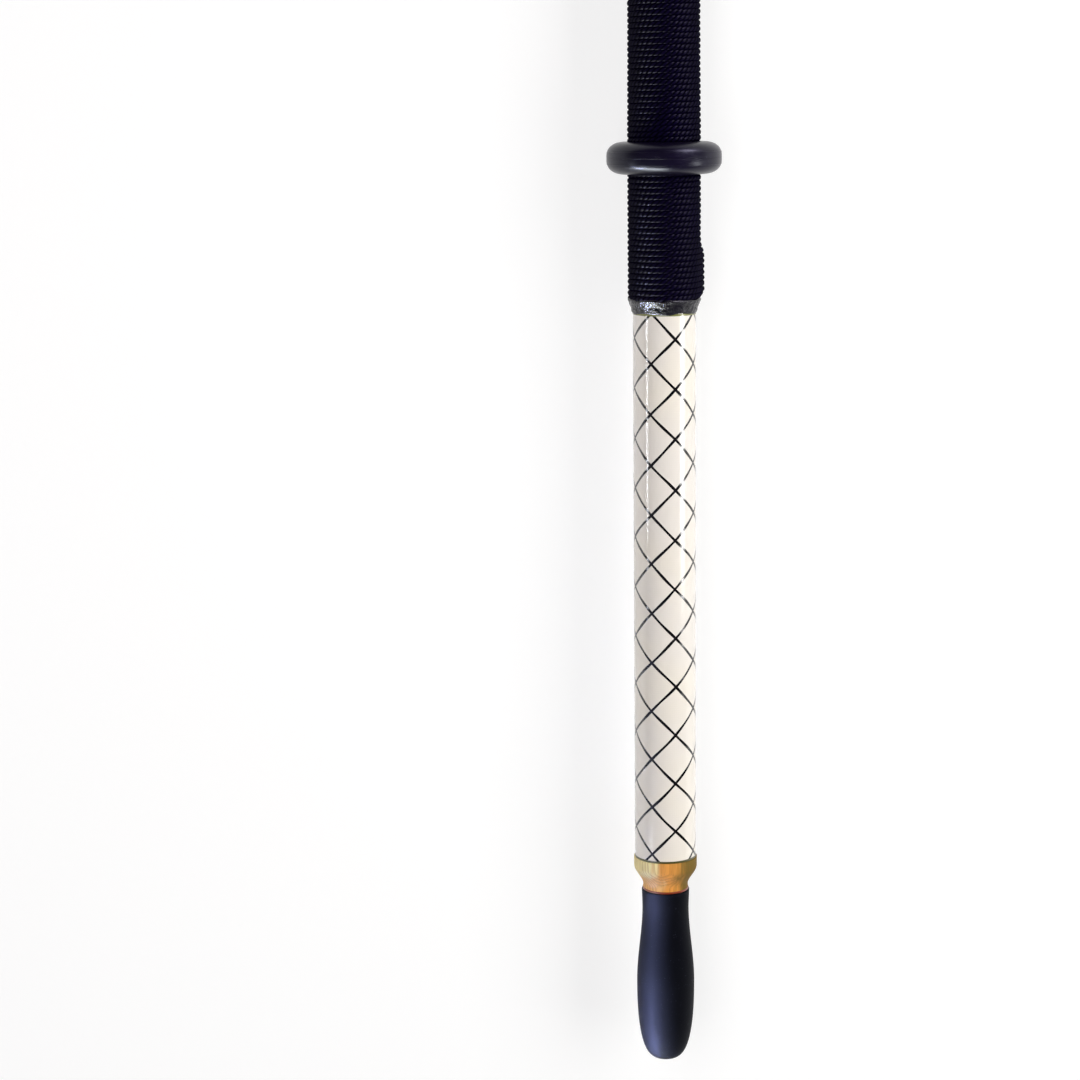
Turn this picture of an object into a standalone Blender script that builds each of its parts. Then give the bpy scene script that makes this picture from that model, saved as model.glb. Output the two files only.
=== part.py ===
"""A whitewater rafting oar without its blade: tube, wooden handle, grip, rope wrap and stopper ring.

The shaft's axis is the X axis and +X points to the blade end. The origin is half way along the oar.
Lengths are metres. A station is a distance along the shaft from the end of the grip.
"""

import math

import bmesh
import bpy
from mathutils import Vector

# Tube
TUBE_DIAMETER = 0.0476
TUBE_WALL = 0.0032
RIM_CHAMFER = 0.0003
HANDLE_SIDE_BARE_LENGTH = 0.425
BLADE_SIDE_BARE_LENGTH = 0.735

# Blade socket, the open end of the tube
SOCKET_DEPTH = 0.250
BULKHEAD_LENGTH = 0.030

# Wooden handle
COLLAR_STANDS_PROUD = 0.0008
COLLAR_LENGTH = 0.0075
TAPER_LENGTH = 0.0155
NECK_LENGTH = 0.004
NECK_DIAMETER = 0.035
STEM_DIAMETER = 0.028
SPIGOT_LENGTH = 0.090
WOOD_CHAMFER = 0.0008

# Rubber grip
GRIP_LENGTH = 0.140
GRIP_NECK_WALL = 0.00385
GRIP_BULGE_WALL = 0.0083
GRIP_NECK_LENGTH = 0.0145
GRIP_LIP = 0.0005
GRIP_BULGE_FROM_END = 0.0643
GRIP_END_THICKNESS = 0.010
GRIP_END_FULLNESS_ALONG = 2.35
GRIP_END_FULLNESS_ACROSS = 3.7

# Rope wrap
WRAP_LENGTH = 0.583
CORD_DIAMETER = 0.0034
TURN_GAP = 0.0007
WOUND_TURNS = 24
POINTS_PER_TURN = 24
CORD_END_ANGLE = math.radians(-97.5)
TAIL_LENGTH = 0.037
TAIL_STEP = 19

# Resin seals at the ends of the wrap
SEAL_LENGTH = 0.010
SEAL_LIP = 0.0005
SEAL_LAND = 0.0004

# Stopper ring
STOPPER_FROM_SEAL = 0.1055
STOPPER_THICKNESS = 0.024
STOPPER_HEIGHT = 0.0152
STOPPER_SIDE_HEIGHT = 0.0024
STOPPER_FULLNESS = 2.7

# Left between pieces that touch on the real oar
GAP = 0.0003

# Faceting
SIDES = 48
TAPER_STEPS = 8
GRIP_STEPS = 10
STOPPER_STEPS = 9
SMOOTH_BELOW = math.radians(35)
MERGE_DISTANCE = 1e-6

# Radii
tube_radius = TUBE_DIAMETER / 2
tube_bore_radius = tube_radius - TUBE_WALL
plug_radius = tube_bore_radius - GAP
collar_radius = tube_radius + COLLAR_STANDS_PROUD
neck_radius = NECK_DIAMETER / 2
stem_radius = STEM_DIAMETER / 2
grip_bore_radius = stem_radius + GAP
grip_neck_radius = grip_bore_radius + GRIP_NECK_WALL
grip_bulge_radius = grip_bore_radius + GRIP_BULGE_WALL
cord_radius = CORD_DIAMETER / 2
sleeve_bore_radius = tube_radius + GAP
turn_radius = (sleeve_bore_radius + cord_radius) / math.cos(math.pi / POINTS_PER_TURN)
wrap_radius = turn_radius + cord_radius
stopper_bore_radius = wrap_radius + GAP
stopper_radius = stopper_bore_radius + STOPPER_HEIGHT

# Stations
neck_end = GRIP_LENGTH + NECK_LENGTH
taper_end = neck_end + TAPER_LENGTH
tube_start = taper_end + COLLAR_LENGTH
handle_seal_start = tube_start + HANDLE_SIDE_BARE_LENGTH
wrap_start = handle_seal_start + SEAL_LENGTH
wrap_end = wrap_start + WRAP_LENGTH
blade_seal_end = wrap_end + SEAL_LENGTH
overall_length = blade_seal_end + BLADE_SIDE_BARE_LENGTH
socket_bottom = overall_length - SOCKET_DEPTH
tube_split = socket_bottom - BULKHEAD_LENGTH / 2
stopper_centre = wrap_start + STOPPER_FROM_SEAL

# The cord's helix: how far it climbs in a turn, and in the straight run at each of its ends
turn_pitch = CORD_DIAMETER + TURN_GAP
end_run = CORD_DIAMETER + GAP
end_climb = end_run * turn_pitch / (2 * math.pi * turn_radius)
end_sweep = math.asin(end_run / turn_radius)
wound_start = wrap_start + end_climb
wound_end = wound_start + WOUND_TURNS * turn_pitch
wound_step = wound_end + end_climb

# The cord's tail lies midway between two points of the turns, which rise over it
tail_angle = CORD_END_ANGLE + 2 * math.pi * (TAIL_STEP + 0.5) / POINTS_PER_TURN
tail_axis_radius = sleeve_bore_radius + cord_radius
tail_end = wrap_start + TAIL_LENGTH
raised_radius = tail_axis_radius + CORD_DIAMETER + GAP


def clear_scene():
    for obj in list(bpy.data.objects):
        bpy.data.objects.remove(obj)


def finish_material(name, colour, roughness):
    material = bpy.data.materials.new(name)
    material.use_nodes = True
    shader = material.node_tree.nodes["Principled BSDF"]
    shader.inputs["Base Color"].default_value = (*colour, 1.0)
    shader.inputs["Roughness"].default_value = roughness
    shader.inputs["Metallic"].default_value = 0.0
    return material


def make_materials():
    return {
        "composite": finish_material("composite", (0.72, 0.69, 0.63), 0.15),
        "wood": finish_material("wood", (0.55, 0.36, 0.17), 0.35),
        "grip_rubber": finish_material("grip_rubber", (0.02, 0.02, 0.03), 0.75),
        "ring_rubber": finish_material("ring_rubber", (0.02, 0.02, 0.025), 0.40),
        "cord": finish_material("cord", (0.012, 0.010, 0.020), 0.60),
        "resin": finish_material("resin", (0.06, 0.06, 0.07), 0.20),
        "foam": finish_material("foam", (0.75, 0.73, 0.68), 0.90),
    }


def place(obj, station, oar, material):
    """Puts an object that starts at its own x = 0 at a station along the oar."""
    bpy.context.scene.collection.objects.link(obj)
    obj.parent = oar
    obj.location.x = station - overall_length / 2
    obj.data.materials.append(material)
    return obj


def object_from(bm, name):
    """Closes a bmesh into an object with outward faces, smooth where the shape is."""
    bmesh.ops.recalc_face_normals(bm, faces=bm.faces)
    mesh = bpy.data.meshes.new(name)
    bm.to_mesh(mesh)
    bm.free()
    mesh.shade_smooth()
    mesh.set_sharp_from_angle(angle=SMOOTH_BELOW)
    return bpy.data.objects.new(name, mesh)


def around(radius, angle):
    """The point at a radius and an angle round the X axis, with no x of its own."""
    return Vector((0.0, radius * math.cos(angle), radius * math.sin(angle)))


def bore(radius):
    """The radius of a faceted hole's corners whose flats clear the given radius."""
    return radius / math.cos(math.pi / SIDES)


def turned(name, profile):
    """Spins a closed profile of (x, radius) points about X, with flats facing up, down and sideways."""
    bm = bmesh.new()
    start = math.pi / SIDES
    corners = [bm.verts.new(Vector((x, 0, 0)) + around(radius, start)) for x, radius in profile]
    on_axis = [radius == 0 for _, radius in profile]
    for k, corner in enumerate(corners):
        if not (on_axis[k] and on_axis[k - 1]):
            bm.edges.new((corners[k - 1], corner))
    bmesh.ops.spin(
        bm,
        geom=bm.verts[:] + bm.edges[:],
        cent=(0, 0, 0),
        axis=(1, 0, 0),
        angle=2 * math.pi,
        steps=SIDES,
        use_merge=True,
    )
    bmesh.ops.remove_doubles(bm, verts=bm.verts, dist=MERGE_DISTANCE)
    return object_from(bm, name)


def eased(share):
    """Runs from 0 to 1 with level ends."""
    return share * share * (3 - 2 * share)


def make_shaft_tube(oar, material):
    """The tube from the handle to the middle of the bulkhead. It is sealed at both ends."""
    length = tube_split - tube_start
    inner = bore(tube_bore_radius)
    profile = [
        (0, inner),
        (0, tube_radius - RIM_CHAMFER),
        (RIM_CHAMFER, tube_radius),
        (length, tube_radius),
        (length, inner),
    ]
    return place(turned("shaft_tube", profile), tube_start, oar, material)


def make_socket_tube(oar, material):
    """The rest of the same tube, open at the blade end, as a piece of its own: the socket's wall."""
    start = tube_split + GAP
    length = overall_length - start
    inner = bore(tube_bore_radius)
    profile = [
        (0, inner),
        (0, tube_radius),
        (length - RIM_CHAMFER, tube_radius),
        (length, tube_radius - RIM_CHAMFER),
        (length, inner),
    ]
    return place(turned("socket_tube", profile), start, oar, material)


def make_bulkhead(oar, material):
    """The foam plug whose face is the bottom of the blade socket. It bridges the two stretches of tube."""
    profile = [(0, 0), (0, plug_radius), (BULKHEAD_LENGTH, plug_radius), (BULKHEAD_LENGTH, 0)]
    return place(turned("socket_bulkhead", profile), socket_bottom - BULKHEAD_LENGTH, oar, material)


def handle_taper():
    """The eased slope from the neck up to the collar, as (station, radius) points."""
    points = []
    for k in range(TAPER_STEPS + 1):
        share = k / TAPER_STEPS
        radius = neck_radius + (collar_radius - neck_radius) * eased(share)
        points.append((neck_end + TAPER_LENGTH * share, radius))
    return points


def make_handle_core(oar, material):
    """One turned piece of wood: stem in the grip, neck, collar against the tube, spigot in the tube."""
    stem_start = GRIP_END_THICKNESS + GAP
    shoulder = tube_start - GAP
    spigot_end = tube_start + SPIGOT_LENGTH
    stations = [
        (stem_start, 0),
        (stem_start, stem_radius - WOOD_CHAMFER),
        (stem_start + WOOD_CHAMFER, stem_radius),
        (GRIP_LENGTH + GAP, stem_radius),
        (GRIP_LENGTH + GAP, neck_radius),
        *handle_taper(),
        (shoulder, collar_radius),
        (shoulder, plug_radius),
        (spigot_end - WOOD_CHAMFER, plug_radius),
        (spigot_end, plug_radius - WOOD_CHAMFER),
        (spigot_end, 0),
    ]
    profile = [(station - stem_start, radius) for station, radius in stations]
    return place(turned("handle_core", profile), stem_start, oar, material)


def grip_outline():
    """The grip's outside from its round end to its neck, as (station, radius) points."""
    points = []
    for k in range(GRIP_STEPS + 1):
        turn = math.pi / 2 * k / GRIP_STEPS
        station = GRIP_BULGE_FROM_END * (1 - math.cos(turn) ** (2 / GRIP_END_FULLNESS_ALONG))
        points.append((station, grip_bulge_radius * math.sin(turn) ** (2 / GRIP_END_FULLNESS_ACROSS)))
    waist_length = GRIP_LENGTH - GRIP_NECK_LENGTH - GRIP_BULGE_FROM_END
    for k in range(1, GRIP_STEPS + 1):
        share = k / GRIP_STEPS
        radius = grip_bulge_radius + (grip_neck_radius - grip_bulge_radius) * eased(share)
        points.append((GRIP_BULGE_FROM_END + waist_length * share, radius))
    return points


def make_grip(oar, material):
    bore_corner = bore(grip_bore_radius)
    profile = [
        *grip_outline(),
        (GRIP_LENGTH, grip_neck_radius + GRIP_LIP),
        (GRIP_LENGTH, bore_corner),
        (GRIP_END_THICKNESS, bore_corner),
        (GRIP_END_THICKNESS, 0),
    ]
    return place(turned("grip_sleeve", profile), 0, oar, material)


def turn_point(station, angle):
    """A point of the winding's centreline, raised where the turn passes over the cord's tail."""
    radius = turn_radius
    off = abs((angle - tail_angle + math.pi) % (2 * math.pi) - math.pi)
    past_tail = station - tail_end - cord_radius - GAP
    if past_tail < 0:
        rise_angle = math.acos(turn_radius / raised_radius)
        radius = turn_radius / math.cos(max(0.0, rise_angle - off))
        if off < 2 * math.pi / POINTS_PER_TURN:
            radius = raised_radius / math.cos(off)
    return Vector((station, 0, 0)) + around(radius, angle)


def cord_route():
    """The wound stretch of cord: its turns as one helix, and a straight run at each end."""
    step = 2 * math.pi / POINTS_PER_TURN
    turns = []
    for k in range(WOUND_TURNS * POINTS_PER_TURN + 1):
        station = wound_start + turn_pitch * k / POINTS_PER_TURN
        turns.append(turn_point(station, CORD_END_ANGLE + step * k))
    slope = math.atan(turn_pitch / (2 * math.pi * turn_radius))
    along = around(1.0, CORD_END_ANGLE + math.pi / 2) * math.cos(slope) + Vector((math.sin(slope), 0, 0))
    return [turns[0] - along * CORD_DIAMETER, *turns, turns[-1] + along * CORD_DIAMETER]


def least_turn_gap(route):
    """The smallest clear distance from one turn of the cord to the next."""
    least = math.inf
    for k, point in enumerate(route):
        for other in route[k + POINTS_PER_TURN // 2 : k + 2 * POINTS_PER_TURN]:
            least = min(least, (point - other).length)
    return least - CORD_DIAMETER


def cord_object(name, points):
    """A cord through the given points, in stations, with its own origin at station 0."""
    curve = bpy.data.curves.new(name, "CURVE")
    curve.dimensions = "3D"
    curve.bevel_depth = cord_radius
    curve.bevel_resolution = 1
    curve.use_fill_caps = True
    spline = curve.splines.new("POLY")
    spline.points.add(len(points) - 1)
    for spline_point, point in zip(spline.points, points):
        spline_point.co = (*point, 1.0)
    return bpy.data.objects.new(name, curve)


def make_rope_turns(oar, material):
    route = cord_route()
    print(f"least gap between turns of the cord: {1000 * least_turn_gap(route):.2f} mm")
    return place(cord_object("rope_turns", route), 0, oar, material)


def ramp_station(first_station, share):
    """Where the wrap's helical end face stands, a share of a turn on from its step."""
    return first_station + turn_pitch * (share - 0.5)


def make_rope_tail(oar, material):
    share = (tail_angle - CORD_END_ANGLE + end_sweep) / (2 * math.pi)
    start = ramp_station(wrap_start, share) + GAP
    lie = around(tail_axis_radius, tail_angle)
    points = [Vector((station, 0, 0)) + lie for station in (start, (start + tail_end) / 2, tail_end)]
    return place(cord_object("rope_tail", points), 0, oar, material)


def end_section(points, share, side):
    """The wrap's end section a share of a turn on from its step, from (station, radius) points.

    At the step itself the section lies on the flat face that the cord's end meets, square to the cord.
    side is -1 where the cord starts and +1 where it stops.
    """
    outward = around(1.0, CORD_END_ANGLE)
    along = around(side, CORD_END_ANGLE + math.pi / 2)
    angle = CORD_END_ANGLE + side * end_sweep + 2 * math.pi * share
    section = []
    for station, radius in points:
        spot = around(radius, angle)
        if share == 0:
            spot = outward * math.sqrt(radius**2 - end_run**2) + along * end_run
        section.append(Vector((station, 0, 0)) + spot)
    return section


def helical_ended(name, chain, first_station, side):
    """A ring round the tube whose one end follows the winding, with a step where the cord ends.

    chain is the rest of its profile, from the bore at the flat end to the outside, as (station, radius)
    points, and first_station is the winding's station at the step, which is one pitch high.
    """
    bm = bmesh.new()
    inner, outer = chain[0][1], chain[-1][1]
    flat_end_first = chain[0][0] < first_station
    sections = []
    for k in range(SIDES):
        ramp = ramp_station(first_station, k / SIDES)
        points = end_section([*chain, (ramp, outer), (ramp, inner)], k / SIDES, side)
        sections.append([bm.verts.new(point) for point in points])
    high = ramp_station(first_station, 1)
    low_outer, low_inner = sections[0][-2:]
    high_outer, high_inner = (
        bm.verts.new(point) for point in end_section([(high, outer), (high, inner)], 0, side)
    )
    bm.faces.new((low_outer, high_outer, high_inner, low_inner))
    sections.append([*sections[0][:-2], high_outer, high_inner])
    corners = len(chain)
    for k in range(SIDES):
        here, there = sections[k], sections[k + 1]
        for j in range(corners - 1):
            bm.faces.new((here[j], here[j + 1], there[j + 1], there[j]))
        bm.faces.new((here[-2], here[-1], there[-1], there[-2]))
        outside = [here[corners - 1], here[-2], there[-2], there[corners - 1]]
        inside = [here[0], here[-1], there[-1], there[0]]
        if flat_end_first and k == SIDES - 1:
            outside.insert(3, low_outer)
            inside.insert(3, low_inner)
        if not flat_end_first and k == 0:
            outside.insert(1, high_outer)
            inside.insert(1, high_inner)
        bm.faces.new(outside)
        bm.faces.new(inside)
    return object_from(bm, name)


def make_rope_wrap(oar, material):
    """The stretch of wrap past the open turns, out to the blade-side seal."""
    end = wrap_end - GAP
    chain = [(end, bore(sleeve_bore_radius)), (end, wrap_radius)]
    return place(helical_ended("rope_wrap", chain, wound_step, 1), 0, oar, material)


def seal_slope(length):
    """The seal's outside from its thin edge straight up to the wrap, as (distance, radius) points."""
    return [(0, sleeve_bore_radius + SEAL_LIP), (length, wrap_radius)]


def make_handle_side_seal(oar, material):
    slope = seal_slope(SEAL_LENGTH - turn_pitch / 2 - SEAL_LAND)
    chain = [(handle_seal_start, bore(sleeve_bore_radius))]
    chain += [(handle_seal_start + x, radius) for x, radius in slope]
    return place(helical_ended("handle_side_seal", chain, wrap_start, -1), 0, oar, material)


def make_blade_side_seal(oar, material):
    bore_corner = bore(sleeve_bore_radius)
    profile = [(0, bore_corner), (0, wrap_radius)]
    slope = seal_slope(SEAL_LENGTH - SEAL_LAND)
    profile += [(SEAL_LENGTH - x, radius) for x, radius in reversed(slope)]
    profile.append((SEAL_LENGTH, bore_corner))
    return place(turned("blade_side_seal", profile), wrap_end, oar, material)


def stopper_outline():
    """Half of the ring's section, as (x, radius): from its middle, over the round shoulder, to its side."""
    rounding = STOPPER_HEIGHT - STOPPER_SIDE_HEIGHT
    points = []
    for k in range(STOPPER_STEPS + 1):
        turn = math.pi / 2 * k / STOPPER_STEPS
        x = STOPPER_THICKNESS / 2 * math.sin(turn) ** (2 / STOPPER_FULLNESS)
        points.append((x, stopper_radius - rounding * (1 - math.cos(turn))))
    return points


def make_stopper(oar, material):
    half = STOPPER_THICKNESS / 2
    bore_corner = bore(stopper_bore_radius)
    outline = stopper_outline()
    mirrored = [(-x, radius) for x, radius in reversed(outline[1:])]
    profile = [(-half, bore_corner), *mirrored, *outline, (half, bore_corner)]
    return place(turned("stopper_ring", profile), stopper_centre, oar, material)


def build():
    clear_scene()
    materials = make_materials()
    oar = bpy.data.objects.new("oar", None)
    bpy.context.scene.collection.objects.link(oar)
    make_shaft_tube(oar, materials["composite"])
    make_socket_tube(oar, materials["composite"])
    make_bulkhead(oar, materials["foam"])
    make_handle_core(oar, materials["wood"])
    make_grip(oar, materials["grip_rubber"])
    make_rope_turns(oar, materials["cord"])
    make_rope_tail(oar, materials["cord"])
    make_rope_wrap(oar, materials["cord"])
    make_handle_side_seal(oar, materials["resin"])
    make_blade_side_seal(oar, materials["resin"])
    make_stopper(oar, materials["ring_rubber"])


build()
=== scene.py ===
"""The looks of a whitewater rafting oar without its blade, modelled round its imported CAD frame.

Lengths are metres, in the frame's own axes: the shaft's axis is X, and +X points to the blade end.
Angles round the shaft run from +Y towards +Z, and 90 degrees is the top, which faces the camera.
"""

import math

import bmesh
import bpy
import numpy as np
from mathutils import Matrix, Vector


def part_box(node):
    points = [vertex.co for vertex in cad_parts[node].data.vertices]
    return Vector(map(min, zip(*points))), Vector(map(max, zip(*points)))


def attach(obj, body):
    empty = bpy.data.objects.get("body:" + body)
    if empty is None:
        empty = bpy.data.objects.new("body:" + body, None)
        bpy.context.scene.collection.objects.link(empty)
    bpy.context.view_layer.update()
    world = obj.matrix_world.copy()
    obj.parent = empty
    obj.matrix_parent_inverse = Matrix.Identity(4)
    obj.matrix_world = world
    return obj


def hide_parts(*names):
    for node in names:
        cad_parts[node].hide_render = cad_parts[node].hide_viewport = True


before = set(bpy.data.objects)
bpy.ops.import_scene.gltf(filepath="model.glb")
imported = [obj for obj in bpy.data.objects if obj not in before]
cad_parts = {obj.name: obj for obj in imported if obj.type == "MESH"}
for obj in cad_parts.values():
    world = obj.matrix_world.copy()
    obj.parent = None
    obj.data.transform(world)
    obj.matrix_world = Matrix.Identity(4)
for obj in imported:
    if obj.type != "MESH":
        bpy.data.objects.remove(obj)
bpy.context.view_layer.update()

MM = 0.001

# Camera, fitted to the stretch from the end of the grip to the rope wrap above the ring
FRAME_PIXELS = 1080
FOCAL_PIXELS = 2502
SENSOR_WIDTH_MM = 36
CAMERA_TILT = math.radians(10.25)
CAMERA_ROLL = math.radians(-0.63)
CAMERA_DISTANCE = 1.918
CENTRE_FROM_GRIP_END = 0.4187
OAR_COLUMN = 664.8

# Fine detail of the turned pieces
TUBE_SIDES = 192
HANDLE_SIDES = 144
RING_SIDES = 240
SHARP_FROM = math.radians(40)

# Tube
RIM_FILLET = 0.8 * MM
BORE_FILLET = 0.5 * MM
HANDLE_SIDE_FILLET = 0.3 * MM
CLOTH_RIDGES = 44
SHADE_UNDER_ROPE_FADE = 1 * MM
YARNS_EACH_WAY = 4
YARN_WIDTH = 1.95 * MM
YARN_PROUD = 0.04 * MM
OVER_YARN_PROUD = 1.3 * YARN_PROUD
YARN_DEPTH = 0.10 * MM
YARN_STEPS_A_TURN = 120
YARN_WANDER = math.radians(0.9)
HANDLE_SIDE_LEAD = 152.6 * MM
BLADE_SIDE_LEAD = 164 * MM
HANDLE_SIDE_PHASES = (math.radians(102.3), math.radians(111.2))
BLADE_SIDE_PHASES = (0.3, 0.1)
YARN_UNDER_SEAL = 3 * MM

# Wooden handle
STEM_RADIUS = 14 * MM
NECK_RADIUS = 17.5 * MM
SPIGOT_RADIUS = 20.3 * MM
TAPER_LENGTH = 15.5 * MM
TAPER_FROM_GRIP = 4 * MM
TAPER_STEPS = 24
WOOD_FILLET = 0.8 * MM
COLLAR_FILLET = 0.5 * MM
GLUE_GAP = 0.3 * MM
GROWTH_RING = 1.7 * MM

# Grip
GRIP_BORE = 14.3 * MM
GRIP_NECK_RADIUS = 18.15 * MM
GRIP_LIP_RADIUS = 18.65 * MM
GRIP_LIP_FILLET = 0.7 * MM
GRIP_BULGE_LENGTH = 64.3 * MM
GRIP_NECK_LENGTH = 14.5 * MM
GRIP_END_WALL = 10 * MM
GRIP_END_FULLNESS = (2.35, 3.7)
GRIP_END_STEPS = 48
GRIP_SLOPE_STEPS = 32

# Rope
ROPE_TURNS = 139
STRANDS_A_TURN = 38.6
STRANDS_IN_ROPE = 3
RINGS_A_STRAND = 3
ROPE_OUTER_RADIUS = 27.65 * MM
ROPE_THINS_BY = 0.45 * MM
ROPE_THINS_OVER = 100 * MM
ROPE_CLEARANCE = 0.05 * MM
TURN_OVERLAP = 0.22 * MM
STRAND_RELIEF = 0.6 * MM
ROPE_START_ANGLE = math.radians(-97.5)
ROPE_CORNERS = [math.radians(a) for a in (90, 55, 20, -30, -90, -150, -200, -235)]
TAIL_ANGLE = math.radians(192)
TAIL_LENGTH = 37 * MM
TAIL_STARTS_AFTER = 2 * MM
TAIL_TAPER = 12 * MM
SWELL_FADE = 15 * MM
ROPE_LAY = math.radians(36)

# Ring
RING_SIDE_HEIGHT = 2.4 * MM
RING_FULLNESS = 2.7
RING_STEPS = 26
RING_BAND_WIDTH = 9.8 * MM
RING_BAND_STEP = 0.3 * MM
RING_BORE_FILLET = 0.4 * MM
PARTING_LINE = 0.2 * MM

# Resin seals, and glue lines that are partly painted shade. An unevenness is a height and the length of its
# waves, a bead a width and a height
SEAL_SIDES = 260
SEAL_ROWS = 34
SEAL_LENGTH = 10 * MM
SEAL_OVER_ROPE = 1.3 * MM
SEAL_FOOT = 0.75 * MM
SEAL_HOLLOW = 1.6
SEAL_FOOT_UNEVENNESS = (0.45 * MM, 16 * MM)
SEAL_TOP_UNEVENNESS = (0.8 * MM, 11 * MM)
COARSE_UNEVENNESS = (0.13 * MM, 4.2 * MM)
FINE_UNEVENNESS = (0.07 * MM, 1.6 * MM)
UNEVEN_WAVES = 60
SEAL_BEAD = (1.6 * MM, 0.16 * MM)
COLLAR_LINE_RADIUS = 20.6 * MM
COLLAR_LINE_WIDTH = 0.28 * MM
GRIP_LINE_RADIUS = 17.4 * MM
GRIP_LINE_BEAD = (1.5 * MM, 0.6 * MM)

# Floor and light
FLOOR_REACH = 60.0
FLOOR_FADE = (0.9, 3.0)
FLOOR_GLOW = (0.72, 1.0)
FLOOR_SEEN_GREY = 0.34
FLOOR_PLAIN_GREY = 0.85
HORIZON = (0.02, 0.24)
HORIZON_GLOW = (0.9, 0.05)
STRIP_GRID = math.radians(36)
GRIP_GRID = math.radians(14)


def srgb(red, green, blue):
    """A colour of 0 to 255 a channel, as the linear colour that a shader takes."""
    linear = []
    for value in (red, green, blue):
        share = value / 255
        linear.append(share / 12.92 if share <= 0.04045 else ((share + 0.055) / 1.055) ** 2.4)
    return (*linear, 1.0)


def corner_distances(node):
    """The distances of a CAD node's corners from the shaft's axis."""
    return [math.hypot(v.co.y, v.co.z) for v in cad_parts[node].data.vertices]


def node_radius(node):
    return max(corner_distances(node))


def node_bore(node):
    return min(corner_distances(node))


grip_end_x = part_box("grip_sleeve")[0].x
grip_edge_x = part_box("grip_sleeve")[1].x
tube_start_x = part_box("shaft_tube")[0].x
blade_end_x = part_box("socket_tube")[1].x
tube_radius = node_radius("shaft_tube")
handle_seal_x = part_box("handle_side_seal")[0].x
rope_start_x = handle_seal_x + SEAL_LENGTH
blade_seal_x, blade_seal_end_x = (corner.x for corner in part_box("blade_side_seal"))
ring_side_x, ring_far_side_x = (corner.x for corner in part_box("stopper_ring"))
ring_x = (ring_side_x + ring_far_side_x) / 2
ring_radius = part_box("stopper_ring")[1].z


class Nodes:
    """The node tree of a material or a world, with short calls that add nodes and join them."""

    def __init__(self, owner):
        owner.use_nodes = True
        self.tree = owner.node_tree

    def join(self, socket, value):
        """Links another node's output to a socket, or sets the socket to a plain value."""
        if isinstance(value, bpy.types.NodeSocket):
            self.tree.links.new(value, socket)
        else:
            socket.default_value = value

    def node(self, kind, inputs, **settings):
        """Adds a node, with its settings and with its inputs set or joined."""
        made = self.tree.nodes.new(kind)
        for name, value in settings.items():
            setattr(made, name, value)
        for name, value in inputs.items():
            self.join(made.inputs[name], value)
        return made

    def maths(self, operation, first, second=0.0):
        return self.node("ShaderNodeMath", {0: first, 1: second}, operation=operation).outputs[0]

    def place(self):
        """The point of the surface in the frame's axes, in metres."""
        return self.node("ShaderNodeTexCoord", {}).outputs["Object"]

    def round_shaft(self, radius):
        """The point unrolled from the shaft: x along it, its arc from the top at a radius, and its angle."""
        split = self.node("ShaderNodeSeparateXYZ", {0: self.place()}).outputs
        angle = self.maths("ARCTAN2", split[1], split[2])
        return split[0], self.maths("MULTIPLY", angle, radius), angle

    def vector(self, x, y, z=0.0):
        return self.node("ShaderNodeCombineXYZ", {0: x, 1: y, 2: z}).outputs[0]

    def stretched(self, scale):
        """The point with each axis scaled, for grain that runs along one of them."""
        inputs = {0: self.place(), 1: scale}
        return self.node("ShaderNodeVectorMath", inputs, operation="MULTIPLY").outputs[0]

    def noise(self, vector, scale, detail=2.0, roughness=0.5, distortion=0.0):
        inputs = {"Vector": vector, "Scale": scale, "Detail": detail, "Roughness": roughness}
        inputs["Distortion"] = distortion
        return self.node("ShaderNodeTexNoise", inputs).outputs["Fac"]

    def remap(self, value, low, high, to_low=0.0, to_high=1.0, interpolation="SMOOTHSTEP"):
        """The value carried from one range to another, and held at its ends."""
        inputs = {"Value": value, "From Min": low, "From Max": high, "To Min": to_low, "To Max": to_high}
        return self.node("ShaderNodeMapRange", inputs, interpolation_type=interpolation).outputs[0]

    def mix(self, share, first, second):
        """A colour between two, by a share of the second."""
        made = self.node("ShaderNodeMix", {}, data_type="RGBA")
        self.join(made.inputs["Factor"], share)
        self.join(made.inputs[6], first)
        self.join(made.inputs[7], second)
        return made.outputs[2]

    def bump(self, height, distance, strength=1.0, normal=None):
        """A normal tilted by a height of 0 to 1 that stands for a distance, on top of another normal."""
        inputs = {"Height": height, "Distance": distance, "Strength": strength}
        if normal is not None:
            inputs["Normal"] = normal
        return self.node("ShaderNodeBump", inputs).outputs["Normal"]


class Paint(Nodes):
    """A material on a principled shader."""

    def __init__(self, name, **sockets):
        self.material = bpy.data.materials.new(name)
        super().__init__(self.material)
        self.shader = self.tree.nodes["Principled BSDF"]
        self.set(**sockets)

    def set(self, **sockets):
        """Sets or joins the shader's own sockets, named with underscores for spaces."""
        for name, value in sockets.items():
            self.join(self.shader.inputs[name.replace("_", " ")], value)


def clear_coat(paint):
    """The glossy resin over the laminate and its yarns, with the unevenness that breaks up highlights."""
    place = paint.place()
    waves = paint.bump(paint.noise(place, 240, detail=2.0), 0.06 * MM, 0.5)
    ripple = paint.bump(paint.noise(place, 1300, detail=2.0), 0.05 * MM, 1.0, waves)
    paint.set(Coat_Weight=1.0, Coat_Roughness=0.05, Coat_IOR=1.75, Coat_Normal=ripple)


def cloth_weave(paint):
    """The crossed ridges of the laminate's cloth, 0 to 1, and how far along the shaft the point lies."""
    along, arc, angle = paint.round_shaft(tube_radius)
    turns = paint.maths("MULTIPLY", angle, CLOTH_RIDGES)
    runs = paint.maths("MULTIPLY", along, CLOTH_RIDGES / tube_radius)
    one_way = paint.maths("SINE", paint.maths("ADD", turns, runs))
    other_way = paint.maths("SINE", paint.maths("SUBTRACT", turns, runs))
    return paint.remap(paint.maths("MULTIPLY", one_way, other_way), -1.0, 1.0), along


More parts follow.
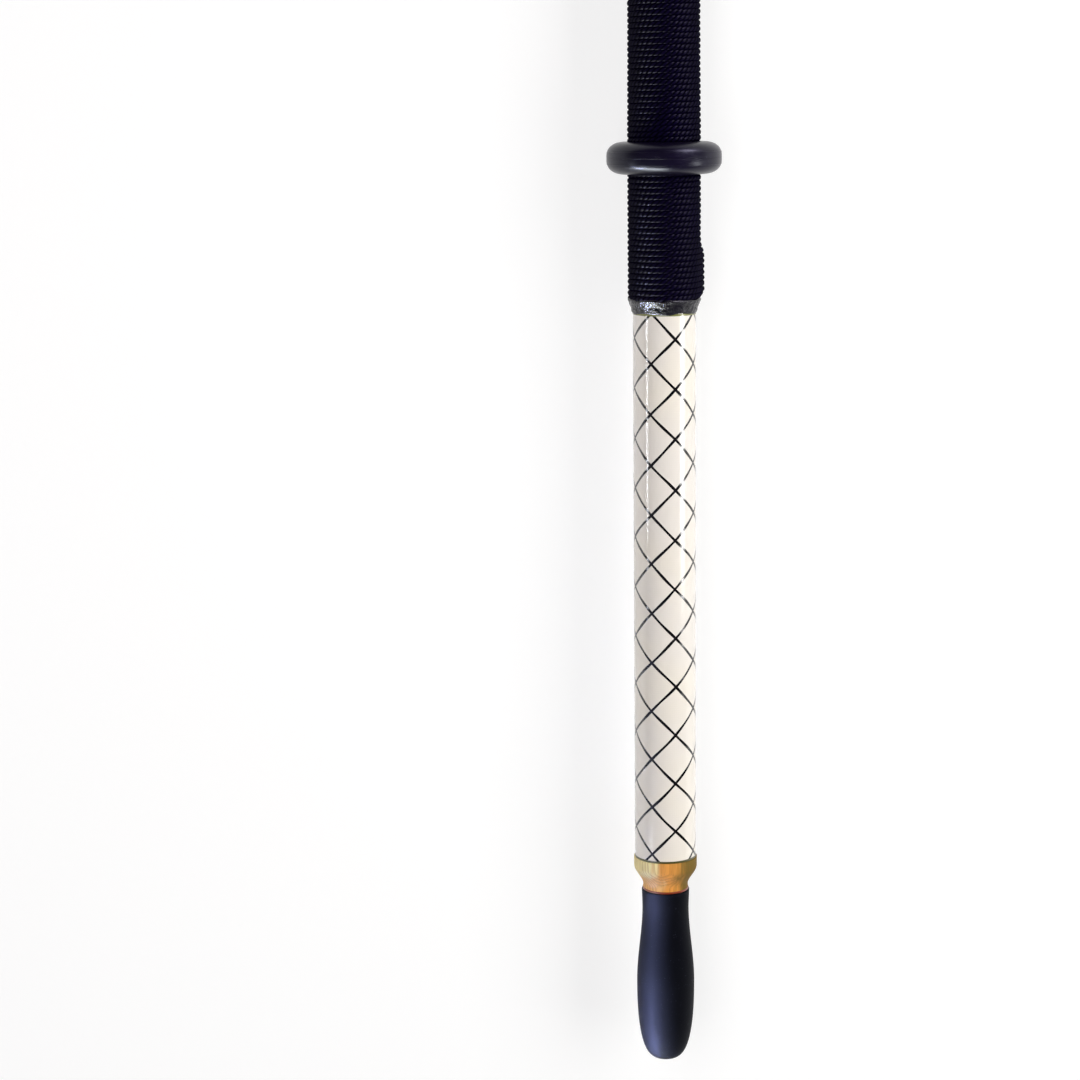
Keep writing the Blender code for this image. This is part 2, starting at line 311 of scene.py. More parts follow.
def laminate_paint():
    """Off-white glass laminate with the faint crossed weave of its cloth, and painted shade, near-black,
    under the rope.
    """
    paint = Paint("laminate", Roughness=0.42, Specular_IOR_Level=0.05)
    patches = paint.remap(paint.noise(paint.place(), 19, detail=3.0), 0.36, 0.66)
    colour = paint.mix(patches, srgb(245, 238, 226), srgb(241, 235, 228))
    weave, along = cloth_weave(paint)
    colour = paint.mix(paint.maths("MULTIPLY", weave, 0.3), colour, srgb(236, 230, 218))
    # Painted shade: the laminate under the rope's turns is painted near-black.
    past_start = paint.remap(along, rope_start_x - SHADE_UNDER_ROPE_FADE, rope_start_x)
    before_end = paint.remap(along, blade_seal_x + SHADE_UNDER_ROPE_FADE, blade_seal_x)
    painted_shade_under_rope = paint.maths("MULTIPLY", past_start, before_end)
    paint.set(Base_Color=paint.mix(painted_shade_under_rope, colour, srgb(12, 10, 16)))
    clear_coat(paint)
    return paint.material


def bore_paint():
    """The inside of the tube: unfinished laminate, greener and rough, with its cloth showing."""
    paint = Paint("laminate_bore", Roughness=0.7)
    weave, along = cloth_weave(paint)
    mottle = paint.noise(paint.place(), 90, detail=4.0)
    colour = paint.mix(mottle, srgb(206, 199, 172), srgb(183, 180, 152))
    colour = paint.mix(paint.maths("MULTIPLY", weave, 0.5), colour, srgb(163, 158, 132))
    paint.set(Base_Color=colour, Normal=paint.bump(weave, 0.10 * MM))
    return paint.material


def yarn_paint():
    """Black carbon yarn under the same clear resin."""
    paint = Paint("tracer_yarn", Roughness=0.5, Specular_IOR_Level=0.05)
    fibres = paint.noise(paint.stretched((900, 900, 900)), 2.0)
    paint.set(Base_Color=paint.mix(fibres, srgb(3, 2, 5), srgb(14, 11, 16)))
    clear_coat(paint)
    return paint.material


def wood_paint():
    """Pale hardwood: nearly flat growth rings, and pores drawn out along the shaft.

    Painted light and shade: the wood is painted palest on the +Y side as a highlight, warmer in the cove
    there, and darkest on the -Y side as shade.
    """
    paint = Paint("turned_wood", Roughness=0.6, Specular_IOR_Level=0.05)
    split = paint.node("ShaderNodeSeparateXYZ", {0: paint.place()}).outputs
    bends = paint.noise(paint.stretched((7, 34, 34)), 1.0, detail=3.0)
    across = paint.maths("MULTIPLY", split[1], 0.22)
    depth = paint.maths("ADD", split[2], across)
    depth = paint.maths("ADD", depth, paint.maths("MULTIPLY", bends, 0.012))
    rings = paint.maths("FRACT", paint.maths("MULTIPLY", depth, 1 / GROWTH_RING))
    late_wood = paint.remap(rings, 0.3, 1.0, 0.0, 0.75)
    wander = paint.noise(paint.stretched((30, 160, 160)), 1.0, detail=2.0)
    shift = paint.maths("MULTIPLY", paint.maths("SUBTRACT", wander, 0.5), 0.022)
    side = paint.maths("ADD", split[1], shift)
    # Painted light and shade: a pale painted highlight towards +Y, fading to the wood's own orange in the
    # middle, and dark olive painted shade towards -Y.
    middle = paint.remap(side, 0.016, 0.002)
    colour = paint.mix(middle, srgb(252, 238, 178), srgb(228, 158, 76))
    colour = paint.mix(paint.remap(side, -0.002, -0.016), colour, srgb(112, 98, 48))
    from_axis = {0: paint.stretched((0, 1, 1))}
    radius = paint.node("ShaderNodeVectorMath", from_axis, operation="LENGTH").outputs["Value"]
    # A weaker, warmer painted highlight on the +Y side of the cove.
    cove = paint.maths("MULTIPLY", paint.remap(radius, 0.024, 0.019), paint.remap(side, 0.0, 0.010))
    colour = paint.mix(cove, colour, srgb(248, 196, 124))
    darker = paint.mix(0.5, colour, srgb(168, 104, 48))
    colour = paint.mix(late_wood, colour, darker)
    pores = paint.noise(paint.stretched((60, 1500, 1500)), 1.0, detail=3.0)
    colour = paint.mix(paint.remap(pores, 0.52, 0.75, 0.0, 0.45), colour, srgb(140, 98, 56))
    paint.set(Base_Color=colour, Normal=paint.bump(pores, 0.05 * MM, 0.5))
    return paint.material


def grip_paint():
    """Matte moulded rubber with a fine tooth and a little dust."""
    paint = Paint("grip_rubber_matte", Roughness=0.60, Specular_IOR_Level=0.10)
    place = paint.place()
    tooth = paint.noise(place, 1900, detail=2.0)
    clouds = paint.noise(place, 60, detail=3.0)
    colour = paint.mix(clouds, srgb(3, 3, 4), srgb(8, 9, 12))
    dust = paint.remap(paint.noise(place, 800, detail=1.0), 0.68, 0.78, 0.0, 0.3)
    colour = paint.mix(dust, colour, srgb(70, 72, 88))
    paint.set(
        Base_Color=colour,
        Normal=paint.bump(tooth, 0.10 * MM, 0.6),
        Specular_Tint=srgb(186, 196, 255),
    )
    return paint.material


def ring_paint():
    """Satin moulded rubber with mould marks and dust."""
    paint = Paint("ring_rubber_satin", Roughness=0.30, Specular_IOR_Level=0.32)
    place = paint.place()
    marks = paint.noise(paint.stretched((700, 420, 420)), 1.0, detail=4.0, roughness=0.65)
    clouds = paint.noise(place, 55, detail=2.0)
    colour = paint.mix(clouds, srgb(8, 3, 22), srgb(15, 8, 34))
    dust = paint.remap(paint.noise(place, 620, detail=1.0), 0.70, 0.80, 0.0, 0.4)
    colour = paint.mix(dust, colour, srgb(80, 76, 96))
    paint.set(
        Base_Color=colour,
        Normal=paint.bump(marks, 0.08 * MM, 0.6),
        Specular_Tint=srgb(238, 242, 252),
    )
    return paint.material


def rope_paint():
    """Navy-black cord, with fine filaments that run along its strands, and painted shade in the grooves
    between strands.
    """
    paint = Paint("rope_cord", Roughness=0.8, Specular_IOR_Level=0.0)
    along, arc, angle = paint.round_shaft(ROPE_OUTER_RADIUS)
    down_strand = paint.maths("ADD", paint.maths("MULTIPLY", along, math.sin(ROPE_LAY)),
                              paint.maths("MULTIPLY", arc, math.cos(ROPE_LAY)))
    over_strand = paint.maths("SUBTRACT", paint.maths("MULTIPLY", along, math.cos(ROPE_LAY)),
                              paint.maths("MULTIPLY", arc, math.sin(ROPE_LAY)))
    lengthwise = paint.maths("MULTIPLY", down_strand, 500)
    crosswise = paint.maths("MULTIPLY", over_strand, 4200)
    filaments = paint.noise(paint.vector(lengthwise, crosswise), 1.0, detail=2.0)
    clouds = paint.noise(paint.place(), 70, detail=2.0)
    colour = paint.mix(clouds, srgb(6, 2, 21), srgb(10, 5, 35))
    colour = paint.mix(paint.remap(filaments, 0.5, 0.8, 0.0, 0.4), colour, srgb(18, 11, 46))
    crown = paint.node("ShaderNodeAttribute", {}, attribute_name="strand_crown").outputs["Fac"]
    # Painted shade: the grooves between strands are painted near-black.
    colour = paint.mix(paint.remap(crown, 0.1, 0.9), srgb(1, 1, 5), colour)
    lint = paint.remap(paint.noise(paint.place(), 420, detail=1.0), 0.79, 0.84, 0.0, 0.7)
    colour = paint.mix(lint, colour, srgb(110, 102, 120))
    fibres = paint.bump(filaments, 0.06 * MM, 0.6)
    paint.set(
        Base_Color=colour,
        Normal=fibres,
        Coat_Normal=fibres,
        Coat_Weight=paint.remap(crown, 0.1, 0.9, 0.0, 0.06),
        Coat_Roughness=0.27,
        Coat_IOR=2.0,
    )
    return paint.material


def resin_paint():
    """Black resin brushed on thick: glossy, and wrinkled where it set."""
    paint = Paint("black_resin", Roughness=0.12, Specular_IOR_Level=0.38)
    place = paint.place()
    wrinkles = paint.noise(place, 660, detail=2.0, roughness=0.5, distortion=1.0)
    clouds = paint.noise(place, 150, detail=3.0)
    colour = paint.mix(paint.remap(clouds, 0.3, 0.7), srgb(8, 6, 14), srgb(24, 22, 32))
    paint.set(Base_Color=colour, Normal=paint.bump(wrinkles, 0.45 * MM, 1.0))
    return paint.material


def amber_paint(name, colour):
    """A thin bead of clear set resin, with the colour that it takes from what it lies on. The glue lines at
    the collar and the grip are given a darker colour that is partly painted shade.
    """
    paint = Paint(name, Roughness=0.3, Coat_Weight=0.6, Coat_Roughness=0.1)
    clouds = paint.noise(paint.place(), 180, detail=2.0)
    deep = tuple(0.6 * channel for channel in colour[:3]) + (1.0,)
    paint.set(Base_Color=paint.mix(clouds, colour, deep))
    return paint.material


def foam_paint():
    """Closed-cell foam."""
    paint = Paint("foam_plug", Roughness=0.85)
    cells = paint.node("ShaderNodeTexVoronoi", {"Vector": paint.place(), "Scale": 900.0}).outputs["Distance"]
    colour = paint.mix(cells, srgb(214, 209, 190), srgb(232, 228, 214))
    paint.set(Base_Color=colour, Normal=paint.bump(cells, 0.3 * MM, 0.6))
    return paint.material


def piece(name, mesh, paints, body, replaced=()):
    """Links a finished mesh as a piece of the object and ties it to the frame."""
    obj = bpy.data.objects.new(name, mesh)
    bpy.context.scene.collection.objects.link(obj)
    for material in paints:
        mesh.materials.append(material)
    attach(obj, body)
    if replaced:
        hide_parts(*replaced)
    return obj


def closed_mesh(name, points, faces, sharp_from=SHARP_FROM):
    """A mesh with outward faces, smooth but for edges sharper than an angle."""
    mesh = bpy.data.meshes.new(name)
    mesh.from_pydata(points, [], faces)
    bm = bmesh.new()
    bm.from_mesh(mesh)
    bmesh.ops.recalc_face_normals(bm, faces=bm.faces)
    bm.to_mesh(mesh)
    bm.free()
    mesh.shade_smooth()
    mesh.set_sharp_from_angle(angle=sharp_from)
    return mesh


def filleted(corners, steps=5):
    """Rounds an outline of (x, radius, fillet) corners: a fillet is how far its curve reaches each way."""
    points = []
    earlier = corners[-1:] + corners[:-1]
    later = corners[1:] + corners[:1]
    for before, here, after in zip(earlier, corners, later):
        corner = Vector(here[:2])
        if not here[2]:
            points.append(corner)
            continue
        first = corner + (Vector(before[:2]) - corner).normalized() * here[2]
        last = corner + (Vector(after[:2]) - corner).normalized() * here[2]
        for k in range(steps + 1):
            share = k / steps
            points.append(first.lerp(corner, share).lerp(corner.lerp(last, share), share))
    return [(point.x, point.y) for point in points]


def lathe(name, outline, sides):
    """Turns a closed outline of (x, radius) points about the shaft's axis."""
    points = []
    rings = []
    for x, radius in outline:
        if radius == 0:
            rings.append([len(points)] * sides)
            points.append((x, 0, 0))
            continue
        rings.append(range(len(points), len(points) + sides))
        for k in range(sides):
            angle = 2 * math.pi * k / sides
            points.append((x, radius * math.cos(angle), radius * math.sin(angle)))
    faces = []
    for here, there in zip(rings, rings[1:] + rings[:1]):
        for k in range(sides):
            face = list(dict.fromkeys((here[k], here[k - 1], there[k - 1], there[k])))
            if len(face) > 2:
                faces.append(face)
    return closed_mesh(name, points, faces)


def eased(share):
    """Runs from 0 to 1 with level ends."""
    return share * share * (3 - 2 * share)


def make_tube():
    """The whole composite tube, with a rough bore and rounded edges."""
    bore = node_bore("socket_tube")
    outline = filleted([
        (tube_start_x, bore, 0),
        (tube_start_x, tube_radius, HANDLE_SIDE_FILLET),
        (blade_end_x, tube_radius, RIM_FILLET),
        (blade_end_x, bore, BORE_FILLET),
    ])
    mesh = lathe("tube", outline, TUBE_SIDES)
    tube = piece("tube", mesh, [laminate_paint(), bore_paint()], "oar",
                 ("shaft_tube", "socket_tube"))
    for face in mesh.polygons:
        inside = all(math.hypot(*mesh.vertices[v].co.yz) < bore + 0.1 * MM for v in face.vertices)
        face.material_index = int(inside)
    return tube


def yarn_points(start, end, lead, phase, hand, proud):
    """Corner points of one yarn: a flat ribbon let into the tube, along a slightly wandering helix."""
    steps = int((end - start) / lead * YARN_STEPS_A_TURN)
    x = np.linspace(start, end, steps + 1)
    turn = 2 * math.pi * (x - grip_end_x) / lead
    wander = YARN_WANDER * (np.sin(2.3 * turn + 5 * phase) + 0.6 * np.sin(5.9 * turn + 11 * phase + hand))
    angle = phase + hand * turn + wander
    slope = math.atan2(2 * math.pi * tube_radius, lead)
    half_width = YARN_WIDTH / 2 * (1 + 0.12 * np.sin(7.7 * turn + 3 * phase))
    points = []
    for side, radius in ((-1, tube_radius + proud), (1, tube_radius + proud),
                         (1, tube_radius - YARN_DEPTH), (-1, tube_radius - YARN_DEPTH)):
        off_x = np.clip(x + side * half_width * math.sin(slope), start, end)
        off_angle = angle - hand * side * half_width * math.cos(slope) / tube_radius
        points.append(np.stack([off_x, radius * np.cos(off_angle), radius * np.sin(off_angle)], axis=1))
    return np.stack(points, axis=1)


def make_yarns(name, start, end, lead, phases):
    """The black yarns of one bare stretch, as one mesh. The left-handed ones lie over the others."""
    points = []
    faces = []
    count = 0
    for hand, phase, proud in zip((1, -1), phases, (YARN_PROUD, OVER_YARN_PROUD)):
        for k in range(YARNS_EACH_WAY):
            corners = yarn_points(start, end, lead, phase + 2 * math.pi * k / YARNS_EACH_WAY, hand, proud)
            rings = len(corners)
            points.extend(corners.reshape(-1, 3).tolist())
            for ring in range(rings - 1):
                here = count + 4 * ring
                for j in range(4):
                    following = (j + 1) % 4
                    faces.append((here + j, here + following, here + 4 + following, here + 4 + j))
            last = count + 4 * (rings - 1)
            faces.append((count, count + 3, count + 2, count + 1))
            faces.append((last, last + 1, last + 2, last + 3))
            count += 4 * rings
    return piece(name, closed_mesh(name, points, faces), [yarn_material], "oar")


def make_handle():
    """One turned piece of wood: stem, neck, cove, collar and spigot."""
    low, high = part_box("handle_core")
    collar_radius = node_radius("handle_core")
    taper_start = grip_edge_x + TAPER_FROM_GRIP
    neck_start = grip_edge_x + GLUE_GAP
    shoulder = tube_start_x - GLUE_GAP
    cove = []
    for k in range(1, TAPER_STEPS):
        share = k / TAPER_STEPS
        cove.append((taper_start + TAPER_LENGTH * share,
                     NECK_RADIUS + (collar_radius - NECK_RADIUS) * eased(share), 0))
    corners = [
        (low.x, 0, 0),
        (low.x, STEM_RADIUS, WOOD_FILLET),
        (neck_start, STEM_RADIUS, 0),
        (neck_start, NECK_RADIUS, 0),
        (taper_start, NECK_RADIUS, 0),
        *cove,
        (taper_start + TAPER_LENGTH, collar_radius, 0),
        (shoulder, collar_radius, COLLAR_FILLET),
        (shoulder, SPIGOT_RADIUS, 0),
        (high.x, SPIGOT_RADIUS, WOOD_FILLET),
        (high.x, 0, 0),
    ]
    mesh = lathe("wooden_handle", filleted(corners), HANDLE_SIDES)
    return piece("wooden_handle", mesh, [wood_paint()], "oar", ("handle_core",))


def make_grip():
    """The rubber grip: a full round end, a bulge for the palm, a slimmer neck and a small lip."""
    bulge_radius = node_radius("grip_sleeve")
    bulge_x = grip_end_x + GRIP_BULGE_LENGTH
    neck_x = grip_edge_x - GRIP_NECK_LENGTH
    fullness_along, fullness_across = GRIP_END_FULLNESS
    outline = []
    for k in range(GRIP_END_STEPS + 1):
        turn = math.pi / 2 * k / GRIP_END_STEPS
        outline.append((grip_end_x + GRIP_BULGE_LENGTH * (1 - math.cos(turn) ** (2 / fullness_along)),
                        bulge_radius * math.sin(turn) ** (2 / fullness_across), 0))
    for k in range(1, GRIP_SLOPE_STEPS + 1):
        share = k / GRIP_SLOPE_STEPS
        outline.append((bulge_x + (neck_x - bulge_x) * share,
                        bulge_radius + (GRIP_NECK_RADIUS - bulge_radius) * eased(share), 0))
    outline += [
        (grip_edge_x, GRIP_LIP_RADIUS, GRIP_LIP_FILLET),
        (grip_edge_x, GRIP_BORE, 0),
        (grip_end_x + GRIP_END_WALL, GRIP_BORE, 0),
        (grip_end_x + GRIP_END_WALL, 0, 0),
    ]
    mesh = lathe("grip", filleted(outline), HANDLE_SIDES)
    return piece("grip", mesh, [grip_paint()], "oar", ("grip_sleeve",))


def make_ring():
    """The stopper ring: a crowned band with a parting line, a small step, round shoulders and flat sides."""
    bore = node_bore("stopper_ring")
    half = (ring_far_side_x - ring_side_x) / 2
    rounding = ring_radius - bore - RING_SIDE_HEIGHT
    shoulder = []
    for k in range(1, RING_STEPS + 1):
        turn = math.pi / 2 * k / RING_STEPS
        x = half * math.sin(turn) ** (2 / RING_FULLNESS)
        shoulder.append((x, ring_radius - rounding * (1 - math.cos(turn)), 0))
    band_edge = RING_BAND_WIDTH / 2
    shoulder = [corner for corner in shoulder if corner[0] > band_edge + 0.35 * MM]
    crest = ring_radius - 0.02 * MM
    half_outline = [
        (PARTING_LINE, crest, 0.05 * MM),
        (band_edge / 2, crest - 0.2 * RING_BAND_STEP, 0.8 * MM),
        (band_edge, crest - RING_BAND_STEP, 0.2 * MM),
        (band_edge + 0.12 * MM, shoulder[0][1] + 0.08 * MM, 0),
        *shoulder,
        (half, bore, RING_BORE_FILLET),
    ]
    mirrored = [(-x, radius, fillet) for x, radius, fillet in reversed(half_outline)]
    corners = [(0, ring_radius - PARTING_LINE, 0), *half_outline, *mirrored]
    outline = [(ring_x + x, radius) for x, radius in filleted(corners)]
    mesh = lathe("stopper", outline, RING_SIDES)
    return piece("stopper", mesh, [ring_paint()], "stopper", ("stopper_ring",))


rope_pitch = (blade_seal_x - rope_start_x) / (ROPE_TURNS + 0.5)
rope_half_width = rope_pitch / 2 + TURN_OVERLAP
rope_half_height = (ROPE_OUTER_RADIUS - tube_radius - ROPE_CLEARANCE) / 2
rope_line_radius = ROPE_OUTER_RADIUS - rope_half_height
rings_a_turn = STRANDS_A_TURN * RINGS_A_STRAND


def rise_over_tail(angle, x):
    """How far the rope's centreline lifts at points round the shaft, where it passes over its own tail."""
    tail_distance = tube_radius + rope_half_height
    reach = 2 * rope_half_height
    off = np.abs((angle - TAIL_ANGLE + math.pi) % (2 * math.pi) - math.pi)
    tangent = math.acos((rope_line_radius - reach) / tail_distance)
    touch = math.atan2(reach * math.sin(tangent), tail_distance + reach * math.cos(tangent))
    straight = rope_line_radius / np.cos(np.clip(tangent - off, 0, None))
    near = np.clip(off, 0, touch)
    rounded = tail_distance * np.cos(near) + np.sqrt(reach**2 - (tail_distance * np.sin(near)) ** 2)
    lifted = np.where(off < touch, rounded, straight)
    past_end = np.clip((x - rope_start_x - TAIL_LENGTH) / SWELL_FADE + 0.35, 0, 1)
    before_seal = np.clip((x - rope_start_x) / (1.5 * rope_pitch), 0, 1)
    share = (1 - eased(past_end)) * eased(before_seal)
    return (lifted - rope_line_radius) * share


def stranded(name, length, spot):
    """A laid rope of a length counted in rings, closed at both ends, with its strands as ridges.

    spot(rings, across, up) gives the points of the rope, from how far along it they are and where
    they lie in its section. Every third ring lies in the groove between two strands.
    """
    lay = STRANDS_IN_ROPE * RINGS_A_STRAND
    corners = np.array(ROPE_CORNERS)
    columns = len(corners)
    offset = lay * (math.pi / 2 - corners) / (2 * math.pi)
    rings = np.arange(-lay, int(length) + 1)
    along = np.clip(rings[:, None] + offset[None, :], 0, length)
    groove = (rings % RINGS_A_STRAND == 0)[:, None]
    relief = np.where(groove, STRAND_RELIEF, 0.0)
    across = (rope_half_width - 0.12 * relief) * np.cos(corners)[None, :]
    up = (rope_half_height - relief) * np.sin(corners)[None, :]
    points = spot(along, across, up).reshape(-1, 3)
    here = np.arange(len(rings) - 1)[:, None] * columns + np.arange(columns)[None, :]
    beside = here + 1
    beside[:, -1] = here[:, 0] + lay * columns
    keep = (beside + columns).max(axis=1) < len(points)
    here, beside = here[keep], beside[keep]
    faces = np.stack([here, here + columns, beside + columns, beside], axis=2).reshape(-1, 4)
    mesh = bpy.data.meshes.new(name)
    mesh.from_pydata(points.tolist(), [], faces.tolist())
    # 1 on the strands and 0 in the grooves between them; the rope's paint darkens the grooves with it as
    # painted shade.
    crown = mesh.attributes.new("strand_crown", "FLOAT", "POINT")
    on_strand = np.broadcast_to(~groove, (len(rings), columns))
    crown.data.foreach_set("value", on_strand.ravel().astype(np.float32))
    pairs = np.empty(2 * len(mesh.edges), dtype=np.int64)
    mesh.edges.foreach_get("vertices", pairs)
    ring_of = (pairs.reshape(-1, 2) // columns) - lay
    column_of = pairs.reshape(-1, 2) % columns
    sharp = (ring_of % RINGS_A_STRAND == 0).all(axis=1) & (column_of[:, 0] != column_of[:, 1])
    bm = bmesh.new()
    bm.from_mesh(mesh)
    bm.edges.ensure_lookup_table()
    for edge in bm.edges:
        edge.smooth = not sharp[edge.index]
    for face in bm.faces:
        face.smooth = True
    bmesh.ops.remove_doubles(bm, verts=bm.verts, dist=1e-7)
    loose = [vert for vert in bm.verts if not vert.link_faces]
    bmesh.ops.delete(bm, geom=loose, context="VERTS")
    bmesh.ops.holes_fill(bm, edges=[edge for edge in bm.edges if edge.is_boundary], sides=0)
    bmesh.ops.recalc_face_normals(bm, faces=bm.faces)
    bm.to_mesh(mesh)
    bm.free()
    return mesh


def wound_spot(rings, across, up):
    """Points of the winding. Its turns wander a little, as turns laid by hand do."""
    turn = rings / rings_a_turn
    angle = ROPE_START_ANGLE + 2 * math.pi * turn
    wander = 0.05 * MM * np.sin(2.9 * turn) + 0.04 * MM * np.sin(7.3 * turn + 1.0)
    x = rope_start_x + rope_pitch * turn + wander + across
    uneven = 0.05 * MM * np.sin(11.7 * turn) + 0.05 * MM * np.sin(4.1 * turn + 2.0)
    thinner = ROPE_THINS_BY * eased(np.clip((x - ring_x) / ROPE_THINS_OVER, 0, 1))
    radius = rope_line_radius + rise_over_tail(angle, x) + np.where(up > 0, up + uneven - thinner, up)
    return np.stack([x, radius * np.cos(angle), radius * np.sin(angle)], axis=-1)


def tail_spot(rings, across, up):
    """Points of the tail, which lies straight along the tube under the first turns and thins to its end."""
    x = rope_start_x + TAIL_STARTS_AFTER + rings / rings_a_turn * 2 * math.pi * ROPE_OUTER_RADIUS
    x = np.minimum(x, rope_start_x + TAIL_LENGTH)
    thin = 1 - 0.6 * eased(np.clip((x - rope_start_x - TAIL_LENGTH + TAIL_TAPER) / TAIL_TAPER, 0, 1))
    centre = tube_radius + rope_half_height * thin + 0.02 * MM
    outward = np.array([0.0, math.cos(TAIL_ANGLE), math.sin(TAIL_ANGLE)])
    sideways = np.array([0.0, -math.sin(TAIL_ANGLE), math.cos(TAIL_ANGLE)])
    points = (centre + up * thin)[..., None] * outward + (across * thin)[..., None] * sideways
    points[..., 0] = x
    return points


def make_rope():
    """The rope's whole winding from seal to seal, and its tail under the first turns."""
    paint = rope_paint()
    mesh = stranded("rope_winding", ROPE_TURNS * rings_a_turn, wound_spot)
    piece("rope_winding", mesh, [paint], "oar", ("rope_turns", "rope_wrap"))
    tail_turns = (TAIL_LENGTH - TAIL_STARTS_AFTER) / (2 * math.pi * ROPE_OUTER_RADIUS)
    tail_rings = tail_turns * rings_a_turn
    mesh = stranded("rope_end", tail_rings, tail_spot)
    piece("rope_end", mesh, [paint], "oar", ("rope_tail",))


def lumps(x, arc, unevenness, seed):
    """A smooth uneven height, from crossing waves, at points unrolled from the shaft."""
    height, wave_length = unevenness
    rng = np.random.default_rng(seed)
    total = np.zeros(np.broadcast(x, arc).shape)
    around = 2 * math.pi * tube_radius
    for _ in range(UNEVEN_WAVES):
        heading = rng.uniform(0, math.pi)
        length = wave_length * rng.uniform(0.7, 1.7)
        across = round(around / length * math.cos(heading)) / around
        along = math.sin(heading) / length
        total += np.sin(2 * math.pi * (across * arc + along * x) + rng.uniform(0, 2 * math.pi))
    return height * (total / UNEVEN_WAVES**0.5)


def make_seal(name, tube_side_x, rope_side_x, rope_radius, node, seed):
    """A seal of brushed-on resin: a hollow slope from its thick edge on the tube up to the first turns."""
    toward_rope = math.copysign(1, rope_side_x - tube_side_x)
    length = abs(rope_side_x - tube_side_x)
    angle = 2 * math.pi * np.arange(SEAL_SIDES) / SEAL_SIDES
    arc = angle * tube_radius
    start = lumps(0.0, arc, SEAL_FOOT_UNEVENNESS, seed)
    reach = length + SEAL_OVER_ROPE + lumps(0.0, arc, SEAL_TOP_UNEVENNESS, seed + 1)
    share = np.linspace(0, 1, SEAL_ROWS)[:, None]
    along = start[None, :] + (reach - start)[None, :] * share
    foot = tube_radius + SEAL_FOOT
    top = rope_radius + 0.1 * MM
    slope = foot + (top - foot) * np.clip(along / length, 0, 1) ** SEAL_HOLLOW
    coarse = lumps(along, arc[None, :], COARSE_UNEVENNESS, seed + 2)
    fine = lumps(along, arc[None, :], FINE_UNEVENNESS, seed + 3)
    edge_fade = np.clip(5 * share, 0, 1) * np.clip(5 * (1 - share), 0, 1)
    outer = slope + (coarse + fine) * edge_fade
    outer -= (SEAL_FOOT - 0.05 * MM) * np.clip(1 - 9 * share, 0, 1) ** 2
    outer -= 0.8 * MM * np.clip(1 - 8 * (1 - share), 0, 1) ** 2
    x = tube_side_x + toward_rope * along
    inner = np.full(SEAL_SIDES, tube_radius + 0.02 * MM)
    rows = [(x[k], outer[k]) for k in range(SEAL_ROWS)] + [(x[-1], inner), (x[0], inner)]
    points = [np.stack([at, radius * np.cos(angle), radius * np.sin(angle)], axis=1) for at, radius in rows]
    faces = []
    for k in range(len(rows)):
        here, there = k * SEAL_SIDES, (k + 1) % len(rows) * SEAL_SIDES
        for j in range(SEAL_SIDES):
            beside = (j + 1) % SEAL_SIDES
            faces.append((here + j, here + beside, there + beside, there + j))
    mesh = closed_mesh(name, np.concatenate(points).tolist(), faces, math.radians(60))
    return piece(name, mesh, [resin_material], "oar", (node,))


def make_bead(name, x, radius, width, height, paint, slot):
    """A thin bead of resin or glue round the shaft. The glue lines at the collar and the grip are partly
    painted shade.
    """
    corners = [
        (x - width / 2, radius, 0),
        (x - width / 2, radius + height, height / 2),
        (x + width / 2, radius + height, height / 2),
        (x + width / 2, radius, 0),
    ]
    mesh = lathe(name, filleted(corners), TUBE_SIDES)
    return piece(name, mesh, [paint], "oar")


def straight_rays(nodes):
    """1 for rays from the camera, direct, reflected or through glass, and 0 for light that is spread."""
    path = nodes.node("ShaderNodeLightPath", {}).outputs
    mirrored = nodes.maths("MAXIMUM", path["Is Glossy Ray"], path["Is Transmission Ray"])
    return nodes.maths("MAXIMUM", path["Is Camera Ray"], mirrored)


def floor_paint():
    """White that keeps faint shadows near the ring: a grey with a glow added, which grows with distance.

    Light that is spread meets a plain pale grey instead.
    """
    material = bpy.data.materials.new("white_floor")
    nodes = Nodes(material)
    nodes.tree.nodes.clear()
    from_ring = nodes.node("ShaderNodeVectorMath", {0: nodes.place()}, operation="LENGTH").outputs["Value"]
    glow = nodes.remap(from_ring, *FLOOR_FADE, *FLOOR_GLOW, interpolation="LINEAR")
    lit = nodes.node("ShaderNodeBsdfDiffuse", {"Color": (*[FLOOR_SEEN_GREY] * 3, 1)}).outputs[0]
    glowing = nodes.node("ShaderNodeEmission", {"Strength": glow}).outputs[0]
    seen = nodes.node("ShaderNodeAddShader", {0: lit, 1: glowing}).outputs[0]
    plain = nodes.node("ShaderNodeBsdfDiffuse", {"Color": (*[FLOOR_PLAIN_GREY] * 3, 1)}).outputs[0]
    chosen = nodes.node("ShaderNodeMixShader", {0: straight_rays(nodes), 1: plain, 2: seen}).outputs[0]
    nodes.node("ShaderNodeOutputMaterial", {0: chosen})
    return material


def make_floor():
    """A white floor that carries the ring and the rim of the blade end. Shadows stay on it."""
    slope = math.atan2(ring_radius - tube_radius, blade_end_x - ring_x)
    corners = [(FLOOR_REACH * x, FLOOR_REACH * y, 0) for x, y in ((-1, -1), (1, -1), (1, 1), (-1, 1))]
    mesh = bpy.data.meshes.new("floor")
    mesh.from_pydata(corners, [], [(0, 1, 2, 3)])
    mesh.materials.append(floor_paint())
    floor = bpy.data.objects.new("floor", mesh)
    bpy.context.scene.collection.objects.link(floor)
    floor.matrix_world = Matrix.Translation((ring_x, 0, -ring_radius)) @ Matrix.Rotation(-slope, 4, "Y")


